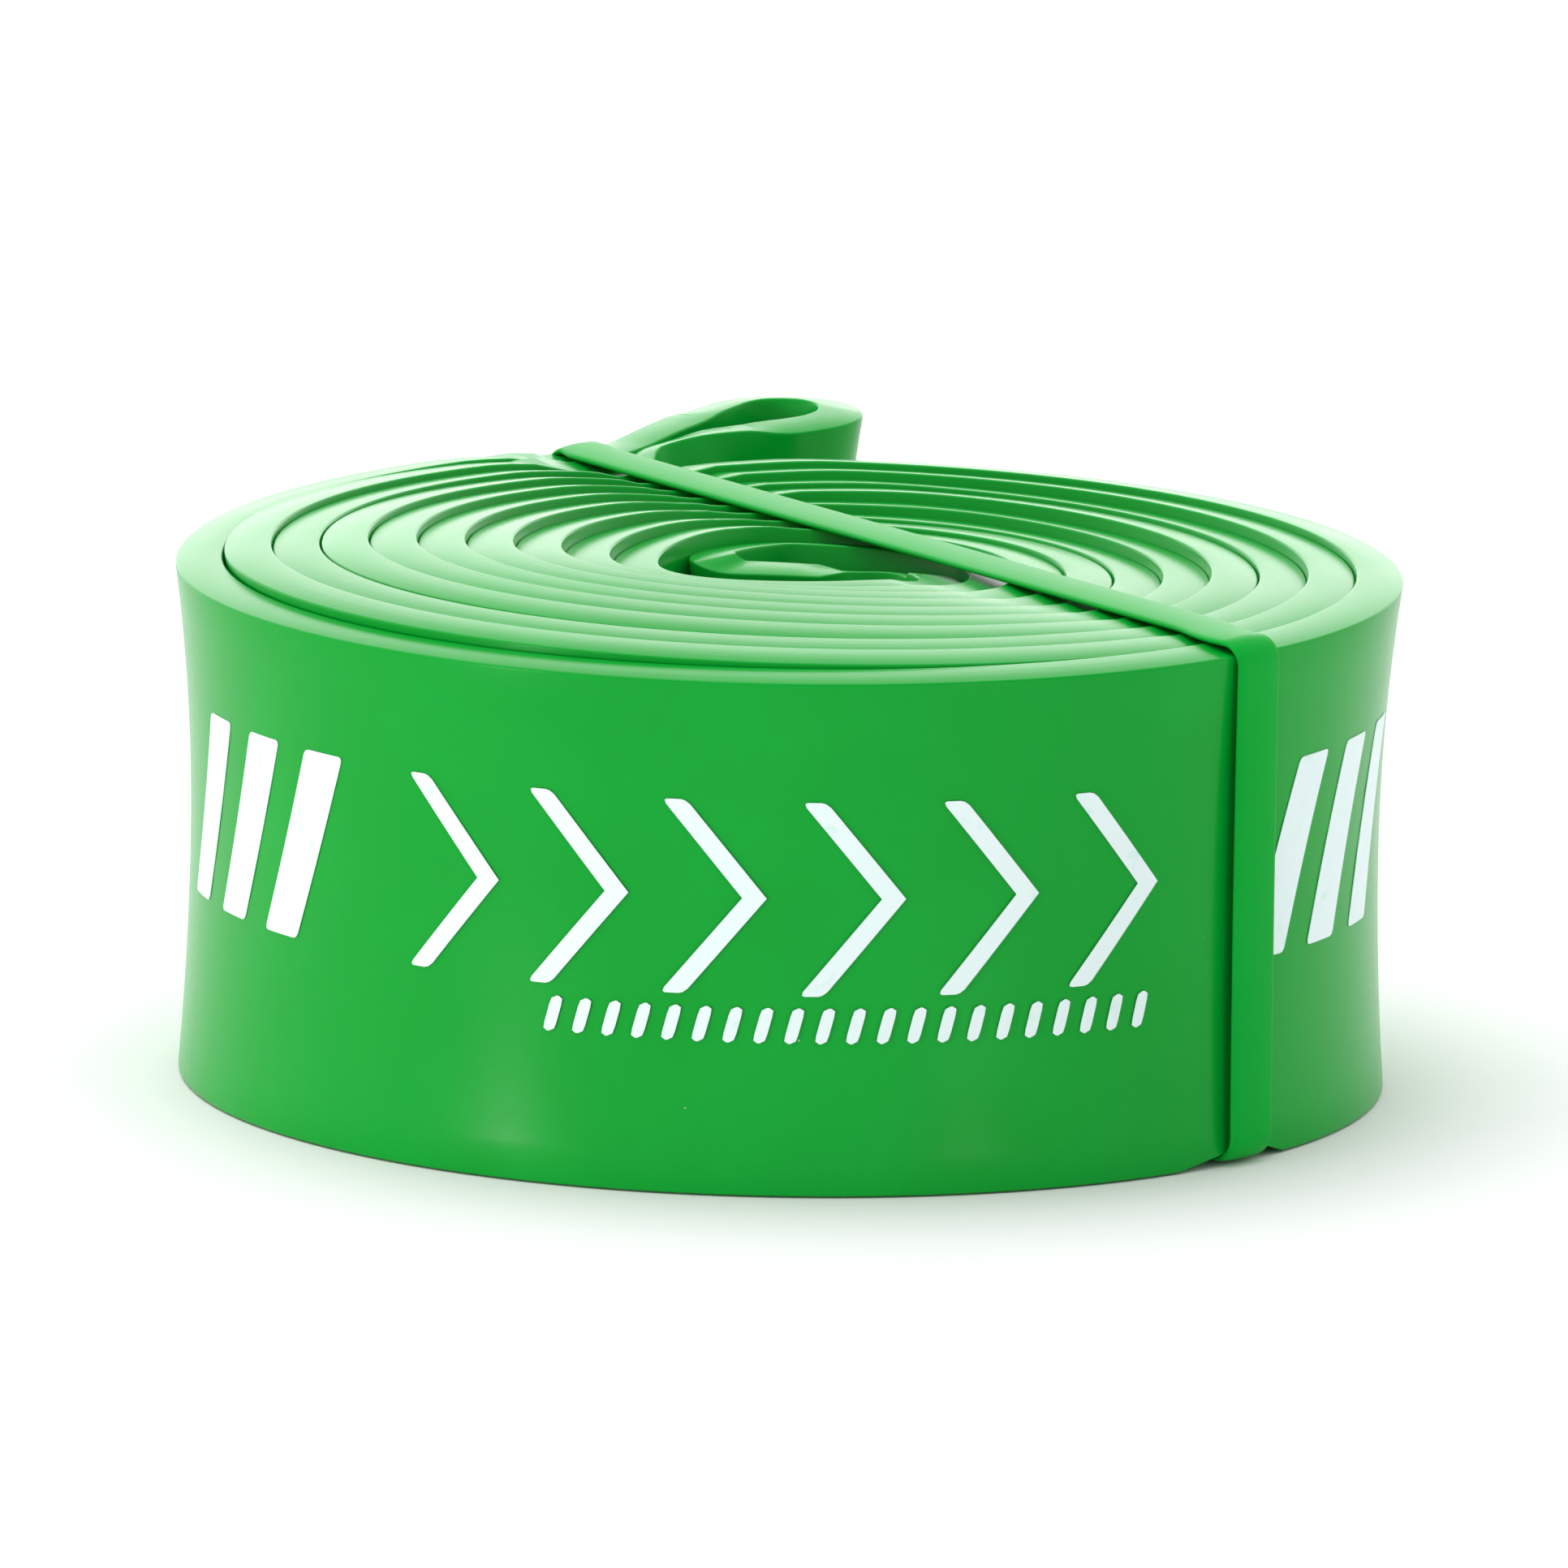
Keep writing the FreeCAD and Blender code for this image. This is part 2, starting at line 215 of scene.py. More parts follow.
def ease(value: Array, low: float, high: float) -> Array:
    """A smooth ramp from 0 at low to 1 at high."""
    ramp = np.clip((value - low) / (high - low), 0, 1)
    return ramp * ramp * (3 - 2 * ramp)


# ---- the coil's plan


@dataclass
class CoilPlan:
    """The band's plan: the CAD model's lines, but for the end loop's rounder throat.

    Attributes:
        outside: the coil's outer radius.
        turns: whole turns of the outer strand.
        step_start: where a turn steps in by a pair of layers, in degrees from the axis.
        root_at: where the free end leaves the coil, in degrees.
        split: how far the end loop's two walls run on together.
    """

    width: float
    outside: float
    axis_y: float
    thickness: float = 3.95 * MM
    gap: float = 0.15 * MM
    turns: int = 4
    step_start: float = 85.0
    step_ease: float = 4.7 * MM
    core_follow: float = 17.0
    core_bend: float = 3.2 * MM
    tuck_at: float = 70.0
    tuck_radius: float = 9.5 * MM
    core_lean: float = 125.0
    curl_radius: float = 4.0 * MM
    curl_overshoot: float = 15.0
    curl_return: float = 8.0 * MM
    root_at: float = 123.0
    root_bend: float = 24.0
    root_radius: float = 10.0 * MM
    loop_wall: float = 22.7 * MM
    tip_radius: float = 5.6 * MM
    throat_radius: float = 13.0 * MM
    split: float = 3.0 * MM

    def __post_init__(self) -> None:
        """Works out the radii of a turn from its step, as in the CAD model."""
        self.pitch = self.thickness + self.gap
        self.radius = self.outside - self.thickness / 2
        self.double = 2 * self.pitch
        start = math.radians(self.step_start)
        wide = self.step_ease + self.double
        drop = self.double * (self.step_ease + self.pitch) / (self.step_ease + wide * math.cos(start))
        self.step_radius = self.radius - drop
        self.ease_radius = self.radius + self.step_ease
        self.step_end = math.degrees(math.atan2(drop * math.sin(start), drop * math.cos(start) - wide))
        self.root_heading = self.root_at - 90 + self.root_bend

    def root(self, inset: float) -> list[Stretch]:
        """The stretches from the left side out to the root, under the tie."""
        draft = Draft((-(self.radius - inset), 0.0), 90.0)
        draft.right(self.ease_radius + self.double - inset, 180 - self.root_at)
        draft.left(self.root_radius + inset, self.root_bend)
        return draft.stretches

    def strand(self, inset: float, last_sweep: float) -> Draft:
        """A strand's wound part, from the left side inwards."""
        draft = Draft((-(self.radius - inset), 0.0), 270.0)
        for lap in range(self.turns):
            deep = inset + self.double * lap
            draft.left(self.radius - deep, 180 + self.step_start)
            draft.left(self.step_radius - deep, self.step_end - self.step_start)
            draft.left(self.ease_radius - deep, 180 - self.step_end)
        draft.left(self.radius - inset - self.double * self.turns, last_sweep)
        return draft

    def curl(self, draft: Draft) -> None:
        """The tight fold at the core that joins the strands."""
        draft.left(self.curl_radius, 180 + self.curl_overshoot - self.core_lean)
        draft.right(self.curl_return, self.curl_overshoot)

    def wound(self) -> list[Stretch]:
        """The whole wound strip, from the outer strand's root through the core to the inner strand's."""
        deep = self.double * self.turns
        outer = self.strand(0.0, 180 + self.step_start)
        outer.left(self.step_radius - deep, self.step_end - self.step_start)
        outer.left(self.ease_radius - deep, self.core_follow)
        outer.left(self.core_bend, 270 - self.step_end - self.core_follow)
        inner = self.strand(self.pitch, 90 + self.tuck_at)
        inner.left(self.tuck_radius, self.core_lean - self.tuck_at)
        probe = Draft(inner.point, inner.heading)
        self.curl(probe)
        inner.forward((outer.point[1] - probe.point[1]) / math.sin(math.radians(inner.heading)))
        self.curl(inner)
        outer.forward(inner.point[0] - outer.point[0])
        start = [stretch.backwards() for stretch in reversed(self.root(0.0))]
        back = [stretch.backwards() for stretch in reversed(inner.stretches)]
        return start + outer.stretches + back + self.root(self.pitch)

    def loop(self) -> list[Stretch]:
        """The end loop, from under the tie round its tip and back."""
        inner = self.root(self.pitch)[-1]
        x, y, heading = inner.at(inner.reach)
        wall = self.loop_wall - self.split
        across = self.tip_radius - self.pitch - self.throat_radius
        spread = math.hypot(wall, across)
        both = self.throat_radius + self.tip_radius
        turn = math.degrees(math.atan2(across, wall) + math.asin(both / spread))
        draft = Draft((x, y), heading)
        draft.forward(self.split)
        draft.right(self.throat_radius, turn)
        draft.forward(math.sqrt(spread**2 - both**2))
        draft.left(self.tip_radius, 180 + turn)
        draft.forward(wall + self.split)
        return draft.stretches

    def root_point(self) -> Vector:
        """Where the outer strand's centre line passes under the tie, in plan."""
        outer = self.root(0.0)[-1]
        x, y, _ = outer.at(outer.reach)
        return Vector((x, y, 0))


# ---- modelling helpers


class Select(Enum):
    """What an edit works on."""

    VERTS = "VERT"
    EDGES = "EDGE"
    FACES = "FACE"


class Bench:
    """The modelling moves that every piece uses."""

    @staticmethod
    def clear() -> None:
        """Deselects every object."""
        if bpy.context.object and bpy.context.object.mode != "OBJECT":
            bpy.ops.object.mode_set(mode="OBJECT")
        bpy.ops.object.select_all(action="DESELECT")

    @staticmethod
    def edit(mode: Select) -> None:
        """Enters edit mode with nothing selected."""
        bpy.ops.object.mode_set(mode="EDIT")
        bpy.ops.mesh.select_mode(type=mode.value)
        bpy.ops.mesh.select_all(action="DESELECT")

    @staticmethod
    def done() -> Piece:
        """Leaves edit mode and returns the active object."""
        bpy.ops.object.mode_set(mode="OBJECT")
        return bpy.context.object

    @staticmethod
    def points(piece: Piece) -> Array:
        """A piece's vertex places, one row each."""
        flat = np.empty(len(piece.data.vertices) * 3)
        piece.data.vertices.foreach_get("co", flat)
        return flat.reshape(-1, 3)

    @staticmethod
    def place(piece: Piece, points: Array) -> None:
        """Moves a piece's vertices to these places."""
        piece.data.vertices.foreach_set("co", points.astype(np.float32).ravel())
        piece.data.update()

    @staticmethod
    def note(piece: Piece, name: str, values: Array) -> None:
        """Keeps three numbers on each vertex, for a material that follows the strip."""
        layer = piece.data.attributes.new(name, "FLOAT_VECTOR", "POINT")
        layer.data.foreach_set("vector", values.astype(np.float32).ravel())

    @classmethod
    def bar(cls, name: str, count: int, thickness: float, width: float, rim: float, cuts: int,
            rounds: int = 3) -> Piece:
        """A straight bar of round-cornered section, one unit of X to a station.

        The section lies across X: thickness along Y and width along Z, both centred.

        Args:
            name: the piece's name.
            count: how many stations it has.
            thickness: the section's size along Y.
            width: the section's size along Z.
            rim: the radius of the section's corners.
            cuts: how many cuts each broad side gets.
            rounds: how many segments each corner gets.

        Returns:
            The bar, its ends closed.
        """
        cls.clear()
        bpy.ops.mesh.primitive_plane_add(size=1, location=(0, 0, 0))
        piece = bpy.context.object
        piece.name = name
        piece.data.name = name
        square = cls.points(piece)
        cls.place(piece, np.column_stack([np.zeros(4), square[:, 0] * thickness, square[:, 1] * width]))
        cls.edit(Select.VERTS)
        bpy.ops.mesh.select_all(action="SELECT")
        bpy.ops.mesh.bevel(offset=rim, segments=rounds, affect="VERTICES", profile=0.5)
        cls.done()
        ends = cls.points(piece)
        cls.pick(piece, Select.EDGES,
                 lambda edge: np.linalg.norm(np.subtract(*ends[list(edge.vertices)])) > width / 2)
        bpy.ops.mesh.subdivide(number_cuts=cuts)
        bpy.ops.mesh.select_all(action="SELECT")
        bpy.ops.mesh.extrude_region_move(TRANSFORM_OT_translate={"value": (1, 0, 0)})
        cls.done()
        cls.pick(piece, Select.FACES, lambda face: abs(face.normal.x) > 0.9)
        bpy.ops.mesh.delete(type="FACE")
        cls.done()
        repeat = piece.modifiers.new("stations", "ARRAY")
        repeat.count = count - 1
        repeat.use_merge_vertices = True
        repeat.merge_threshold = 1e-5
        bpy.ops.object.modifier_apply(modifier=repeat.name)
        cls.edit(Select.EDGES)
        bpy.ops.mesh.select_non_manifold()
        bpy.ops.mesh.edge_face_add()
        return cls.face_outwards()

    @classmethod
    def pick(cls, piece: Piece, mode: Select, wanted: Callable) -> None:
        """Enters edit mode with only some edges or faces selected.

        Args:
            piece: the active piece.
            mode: edges or faces.
            wanted: tells which of them are picked.
        """
        cls.edit(mode)
        bpy.ops.object.mode_set(mode="OBJECT")
        for part in piece.data.edges if mode is Select.EDGES else piece.data.polygons:
            part.select = bool(wanted(part))
        bpy.ops.object.mode_set(mode="EDIT")

    @classmethod
    def face_outwards(cls) -> Piece:
        """Turns every face outwards, leaves edit mode and returns the active object."""
        bpy.ops.mesh.select_all(action="SELECT")
        bpy.ops.mesh.normals_make_consistent(inside=False)
        return cls.done()

    @staticmethod
    def smooth(piece: Piece, degrees: float = 40.0) -> Piece:
        """Shades a piece smooth, except across sharp edges, and returns it."""
        bpy.ops.object.select_all(action="DESELECT")
        piece.select_set(True)
        bpy.context.view_layer.objects.active = piece
        bpy.ops.object.shade_smooth_by_angle(angle=math.radians(degrees))
        return piece


# ---- how rolled rubber lies


@dataclass(frozen=True)
class StrapLine:
    """Where the tie runs: its direction in plan, its underside over the coil, its upper side under it.

    Attributes:
        offset: how far to the right of the axis it passes.
        front: its front end, measured along it from the axis.
        half: half its width, with a little room.
        fade: how far its press is felt beyond its edges.
        wide_fade: how far beyond its edges all the layers dip together.
        dip: the share of its slope towards the back that they dip by.
        front_room: how far its middle stands off the coil's face at the front.
    """

    angle: float
    offset: float
    front: float
    back: float
    over_front: float = 44.25 * MM
    over_back: float = 43.0 * MM
    under: float = 1.15 * MM
    half: float = 2.7 * MM
    fade: float = 3.0 * MM
    wide_fade: float = 12.0 * MM
    dip: float = 0.5
    front_room: float = 0.55 * MM
    back_room: float = 0.5 * MM

    @classmethod
    def over_coil(cls, plan: CoilPlan, angle: float = 122.5) -> "StrapLine":
        """The tie's line over the coil's root, with room for its own half thickness at both ends."""
        along = Vector((math.cos(math.radians(angle)), math.sin(math.radians(angle)), 0))
        root = plan.root_point()
        offset = root.dot(Vector((along.y, -along.x, 0)))
        back = root.dot(along) + plan.thickness / 2 + cls.back_room
        front = -math.sqrt(plan.outside**2 - offset**2) - cls.front_room
        return cls(angle, offset, front, back)

    @property
    def along(self) -> Array:
        """Its direction in plan, from front to back."""
        return np.array([math.cos(math.radians(self.angle)), math.sin(math.radians(self.angle))])

    @property
    def across(self) -> Array:
        """The direction to its right."""
        return np.array([self.along[1], -self.along[0]])

    def over(self, run: Array) -> Array:
        """The height of its underside over the coil, this far along."""
        share = np.clip((run - self.front) / (self.back - self.front), 0, 1)
        return self.over_front + (self.over_back - self.over_front) * share

    def press(self, x: Array, y: Array, z: Array, top: Array) -> Array:
        """Pushes whatever stands in the tie's way out of it, softly to both sides.

        Args:
            x: plan places, from the coil's axis.
            y: plan places, from the coil's axis.
            z: heights.
            top: the height of the strip's upper side at each place.

        Returns:
            The heights, pressed in.
        """
        run = x * self.along[0] + y * self.along[1]
        beside = np.abs(x * self.across[0] + y * self.across[1] - self.offset)
        weight = 1 - ease(beside, self.half, self.half + self.fade)
        wide = 1 - ease(beside, self.half, self.half + self.wide_fade)
        share = z / top
        dip = self.dip * wide * (self.over_front - self.over(run))
        squeeze = weight * np.clip(top - dip - self.over(run), 0, None)
        z = z - share**2 * dip - share * squeeze
        return z + weight * np.clip(self.under - z, 0, None)


@dataclass
class Lie:
    """How the strip departs from a plain upright wall.

    Attributes:
        waist: how far a bent wall draws in at mid-height, against its upper lip.
        foot_share: the lower lip's flare as a share of the upper one's.
        full_bend: the curvature at which the waist is fully drawn in.
        front_lifts: how far each layer's lip stands above the outermost one's at the front, in millimetres.
        back_lifts: the same at the back.
        swell: the power that rounds those lifts off towards the tie.
        middle: the height of the waist, as a share of the width.
        tie_front: where the tie crosses the coil's front, in degrees from the axis.
        core_drop: how far the core lies below the coil.
        front_looseness: how far the layers spread at the front, as a share of their depth.
    """

    plan: CoilPlan
    strap: StrapLine
    waist: float = 1.75 * MM
    foot_share: float = 0.5
    full_bend: float = 12.0
    front_lifts: tuple[float, ...] = (0.0, 1.25, 1.35, 1.9, 2.0, 1.9, 1.75, 1.35, 0.6, -0.1)
    back_lifts: tuple[float, ...] = (0.0, 0.0, -0.35, -0.1, -0.6, -0.95, -0.55, -0.3, -0.8, -0.8)
    swell: float = 0.8
    middle: float = 0.47
    tie_front: float = -40.0
    tie_back: float = 110.0
    core_drop: float = 0.9 * MM
    front_looseness: float = 0.075

    def flare(self, height: Array) -> tuple[Array, Array]:
        """How far in the wall lies at a height, from 0 at the foot to 1 at the lip, and its slope there."""
        rise = height - self.middle
        upper = rise > 0
        depth = np.where(upper, self.waist, self.waist * self.foot_share)
        span = np.where(upper, 1 - self.middle, self.middle)
        share = rise / span
        inward = self.waist - depth * share**2
        slope = -2 * depth * share / span / self.plan.width
        return inward, slope

    def lifts(self, layer: Array, angle: Array) -> Array:
        """How far each layer's lip stands above the outermost one's, by its place round the coil.

        Args:
            layer: layer numbers from the outside, 1 for the outermost.
            angle: directions from the axis, in degrees.

        Returns:
            Heights in metres.
        """
        span = 360 + self.tie_front - self.tie_back
        turned = np.mod(angle - self.tie_back, 360)
        sides = []
        for start, reach, lifts in ((0, span, self.front_lifts), (span, 360 - span, self.back_lifts)):
            swell = np.sin(np.pi * np.clip((turned - start) / reach, 0, 1)) ** self.swell
            sides.append(swell * np.interp(layer, np.arange(1, len(lifts) + 1), lifts))
        return np.where(turned < span, *sides) * MM

    def loosen(self, x: Array, y: Array) -> tuple[Array, Array]:
        """Spreads the layers a little at the front, where the roll lies looser.

        Args:
            x: plan places, from the coil's axis.
            y: plan places, from the coil's axis.

        Returns:
            The places moved.
        """
        reach = np.hypot(x, y)
        front = np.clip(-y / np.maximum(reach, 1e-6), 0, 1) ** 2
        deep = np.clip(self.plan.outside - reach, 0, None)
        return x, y + self.front_looseness * deep * front

    def face(self, arc: Array, height: Array, proud: Array) -> Array:
        """Places on the coil's outer face.

        Args:
            arc: distances round the coil from the front, positive to the right.
            height: heights above the ground.
            proud: how far off the face.

        Returns:
            One row for each place.
        """
        inward, slope = self.flare(height / self.plan.width)
        strength = math.tanh(1 / self.plan.radius / self.full_bend)
        reach = self.plan.outside - strength * inward + proud
        angle = arc / self.plan.outside
        z = height - proud * strength * -slope
        return np.column_stack([reach * np.sin(angle), self.plan.axis_y - reach * np.cos(angle), z])


@dataclass
class StripPiece:
    """A length of the band: a straight bar laid along a centre line.

    Attributes:
        rim: the radius of the strip's long edges.
        step: the longest distance between stations.
        turn: the largest turn between stations, in degrees.
        cuts: how many cuts each broad side gets.
        blur: the distance over which curvature is smoothed.
        top_room: the space left for uneven tops under the tie.
    """

    plan: CoilPlan
    lie: Lie
    rim: float = 0.2 * MM
    step: float = 2.6 * MM
    turn: float = 3.0
    cuts: int = 13
    blur: float = 6 * MM
    top_room: float = 0.2 * MM

    def stations(self, stretches: list[Stretch]) -> Stations:
        """Where the cross-sections stand."""
        return Stations.of(stretches, self.step, self.turn, self.blur)

    def lay(self, piece: Piece, stations: Stations, lift: Array, lean: Array,
            sway: Array) -> None:
        """Lays a straight bar along the stations.

        Args:
            piece: the bar, one unit of X to a station.
            stations: the centre line.
            lift: how far each station's upper lip is raised.
            lean: how far each station's upper lip leans left, as a slope.
            sway: how far each station is moved to the left.
        """
        points = Bench.points(piece)
        index = stations.owners(points)
        across = points[:, 1]
        height = points[:, 2] / self.plan.width + 0.5
        bend = stations.curvature[index]
        strength = -np.tanh(bend / self.lie.full_bend)
        inward, slope = self.lie.flare(height)
        shift = -strength * inward + lean[index] * (height - 0.5) * self.plan.width
        tilt = -strength * slope + lean[index]
        raised = height * (self.plan.width + lift[index]) - across * tilt
        beside = across + shift + sway[index]
        heading = stations.heading[index]
        x = stations.x[index] - np.sin(heading) * beside
        y = stations.y[index] + np.cos(heading) * beside
        x, y = self.lie.loosen(x, y)
        top = self.plan.width + lift[index] + self.top_room
        raised = self.lie.strap.press(x, y, np.maximum(raised, 0), top)
        Bench.place(piece, np.column_stack([x, y + self.plan.axis_y, raised]))
        Bench.note(piece, "strip", np.column_stack([stations.along[index], across, points[:, 2]]))

    def bar(self, name: str, stations: Stations) -> Piece:
        """The straight bar that is laid along the stations."""
        return Bench.bar(name, stations.count, self.plan.thickness, self.plan.width, self.rim, self.cuts)


@dataclass
class Band:
    """The latex band: the wound strip and its free end loop.

    Attributes:
        loop_lifts: how far the end loop's upper lip stands above the coil's, by distance along it, both in
            millimetres.
        loop_lean: how far its near wall leans, as a slope.
        fold_front: between which places in plan the core's near fold begins.
        fold_back: between which it ends.
        fold_drop: how much lower it lies than the rest of the core.
        curl_turns: where the inner strand comes down to the core, in degrees beyond its whole turns.
        fold_turns: the same for the outer strand.
    """

    plan: CoilPlan
    lie: Lie
    loop_lifts: tuple[tuple[float, float], ...] = (
        (0, -1.3), (3, -1.05), (6, -0.75), (10, -0.45), (15, -0.05), (20, 0.08), (24, 0.3),
        (28, 0.48), (33, 0.55), (38, 0.45), (43, 0.15), (49, -0.3), (56, -0.7))
    loop_lean: float = 0.10
    fold_front: tuple[float, float] = (3.2 * MM, 4.4 * MM)
    fold_back: tuple[float, float] = (6.2 * MM, 8.0 * MM)
    fold_drop: float = 0.6 * MM
    fold_lean: float = 0.03
    curl_turns: tuple[float, float] = (195.0, 285.0)
    fold_turns: tuple[float, float] = (250.0, 340.0)

    def layers(self, stations: Stations) -> tuple[Array, Array, Array]:
        """Each station's layer number, direction from the axis, and share of the core's drop."""
        turned = np.degrees(np.unwrap(np.arctan2(stations.y, stations.x)))
        inner = np.arange(stations.count) > np.argmax(turned)
        wound = turned - np.where(inner, turned[-1], turned[0])
        layer = 2 * np.floor(wound / 360 + 1e-6) + np.where(inner, 2, 1)
        beyond = wound - 360 * self.plan.turns
        core = np.where(inner, ease(beyond, *self.curl_turns), ease(beyond, *self.fold_turns))
        return layer, turned, core

    def wound(self) -> Piece:
        """Models the wound strip."""
        maker = StripPiece(self.plan, self.lie)
        stations = maker.stations(self.plan.wound())
        piece = maker.bar("wound_band", stations)
        layer, turned, core = self.layers(stations)
        lift = self.lie.lifts(layer, turned) * (1 - core) - self.lie.core_drop * core
        near_wall = core * ease(stations.y, *self.fold_front) * (1 - ease(stations.y, *self.fold_back))
        lift = lift - self.fold_drop * near_wall
        lean = self.fold_lean * np.cos(stations.heading) * near_wall
        maker.lay(piece, stations, lift, lean, 0.3 * self.plan.width * lean)
        return Bench.smooth(piece)

    def end_loop(self) -> Piece:
        """Models the free end loop."""
        maker = StripPiece(self.plan, self.lie, step=1.2 * MM, turn=6.0)
        stations = maker.stations(self.plan.loop())
        piece = maker.bar("end_loop_skin", stations)
        along = stations.along / MM
        near = ease(along, 2, 7) * (1 - ease(along, 12, 20))
        places, rises = zip(*self.loop_lifts)
        lift = np.interp(along, places, rises) * MM
        maker.lay(piece, stations, lift, self.loop_lean * near, np.zeros(stations.count))
        return Bench.smooth(piece)


@dataclass
class Tie:
    """The narrow elastic loop that holds the coil.

    Attributes:
        low: the height of its middle where it runs under the coil.
        corner: the radius it turns down in at either end.
        front_twist: how far its front leg turns to lie against the coil, in degrees.
        front_zone: the distance over which its front twists.
        leg_zone: how far from its front or back a leg's swing reaches.
        dome: how much thinner it is at its edges.
        tuck: the share of the coil's waist that its front leg follows.
        tuck_side: how far it slides right as it does so, as a share.
        foot_side: how far right its foot stands.
    """

    plan: CoilPlan
    strap: StrapLine
    lie: Lie
    width: float = 5.2 * MM
    thickness: float = 0.8 * MM
    low: float = 0.6 * MM
    corner: float = 1.8 * MM
    front_twist: float = 16.6
    back_twist: float = 24.2
    front_zone: float = 9 * MM
    back_zone: float = 5 * MM
    leg_zone: float = 12 * MM
    dome: float = 0.45
    tuck: float = 0.8
    tuck_side: float = 0.55
    foot_side: float = 0.3 * MM

    def line(self) -> list[Stretch]:
        """Its middle, drafted in its own upright plane: over the coil, down, under it, and up."""
        strap = self.strap
        high_front = strap.over_front + self.thickness / 2
        tilt = math.degrees(math.atan2(strap.over_back - strap.over_front, strap.back - strap.front))
        draft = Draft((strap.front + self.corner, high_front), tilt)
        draft.forward((strap.back - strap.front - 2 * self.corner) / math.cos(math.radians(tilt)))
        draft.right(self.corner, 90 + tilt)
        draft.forward(draft.point[1] - self.low - self.corner)
        draft.right(self.corner, 90)
        draft.forward(draft.point[0] - strap.front - self.corner)
        draft.right(self.corner, 90)
        tilted = self.corner * (1 - math.cos(math.radians(tilt)))
        draft.forward(high_front - self.low - 2 * self.corner + tilted)
        draft.right(self.corner, 90 - tilt)
        return draft.stretches

    def model(self) -> Piece:
        """Models the tie as one closed loop whose legs twist to lie against the coil."""
        strap = self.strap
        stations = Stations.of(self.line(), step=1.5 * MM, turn=12.0, blur=3 * MM)
        rim = 0.36 * MM
        piece = Bench.bar("tie_loop", stations.count, self.thickness, self.width, rim, cuts=5, rounds=4)
        points = Bench.points(piece)
        index = stations.owners(points)
        x, heading = stations.x[index], stations.heading[index]
        side = points[:, 2]
        beside = points[:, 1] * (1 - self.dome * (2 * side / self.width) ** 2)
        run = x - np.sin(heading) * beside
        rise = stations.y[index] + np.cos(heading) * beside
        at_front = 1 - ease(x, strap.front, strap.front + self.front_zone)
        at_back = ease(x, strap.back - self.back_zone, strap.back)
        turn = math.radians(self.front_twist) * at_front + math.radians(self.back_twist) * at_back
        pivot = np.where(x < 0, strap.front, strap.back)
        leg = np.abs(run - pivot) < self.leg_zone
        local = np.where(leg, run - pivot, 0)
        swung_run = np.where(leg, pivot + local * np.cos(turn) + side * np.sin(turn), run)
        swung_side = np.where(leg, side * np.cos(turn) - local * np.sin(turn), side)
        height = np.clip(rise / self.plan.width, 0, 1)
        inward, _ = self.lie.flare(height)
        tuck = self.tuck * inward * (1 - ease(run - strap.front, 2 * MM, self.leg_zone))
        swung_run = swung_run + tuck
        sag = self.tuck_side * tuck + self.foot_side * (1 - height) * (x < 0)
        place = np.outer(swung_run, strap.along) + np.outer(swung_side + strap.offset + sag, strap.across)
        Bench.place(piece, np.column_stack([place[:, 0], place[:, 1] + self.plan.axis_y, rise]))
        Bench.note(piece, "strip", np.column_stack([stations.along[index], beside, side]))
        self.close(piece)
        return Bench.smooth(piece)

    @staticmethod
    def close(piece: Piece) -> None:
        """Joins the loop's two ends: their end faces go, and their rims merge."""
        Bench.pick(piece, Select.FACES, lambda face: len(face.vertices) > 4)
        bpy.ops.mesh.delete(type="FACE")
        bpy.ops.mesh.select_all(action="SELECT")
        bpy.ops.mesh.remove_doubles(threshold=2e-5)
        Bench.face_outwards()


# ---- ink


@dataclass(frozen=True)
class Mark:
    """One printed mark: rows of (height, middle, width) from the bottom up, joined by straight lines."""

    rows: tuple[tuple[float, float, float], ...]

    @classmethod
    def bar(cls, left: float, low: float, width: float, high: float, slant: float) -> "Mark":
        """A parallelogram that leans right by slant."""
        return cls(((low, left + width / 2, width), (high, left + width / 2 + slant, width)))

    @classmethod
    def chevron(cls, left: float, low: float, stroke: float, high: float, reach: float) -> "Mark":
        """A chevron that points right."""
        middle = left + stroke / 2
        point = ((low + high) / 2, middle + reach, stroke)
        return cls(((low, middle, stroke), point, (high, middle, stroke)))


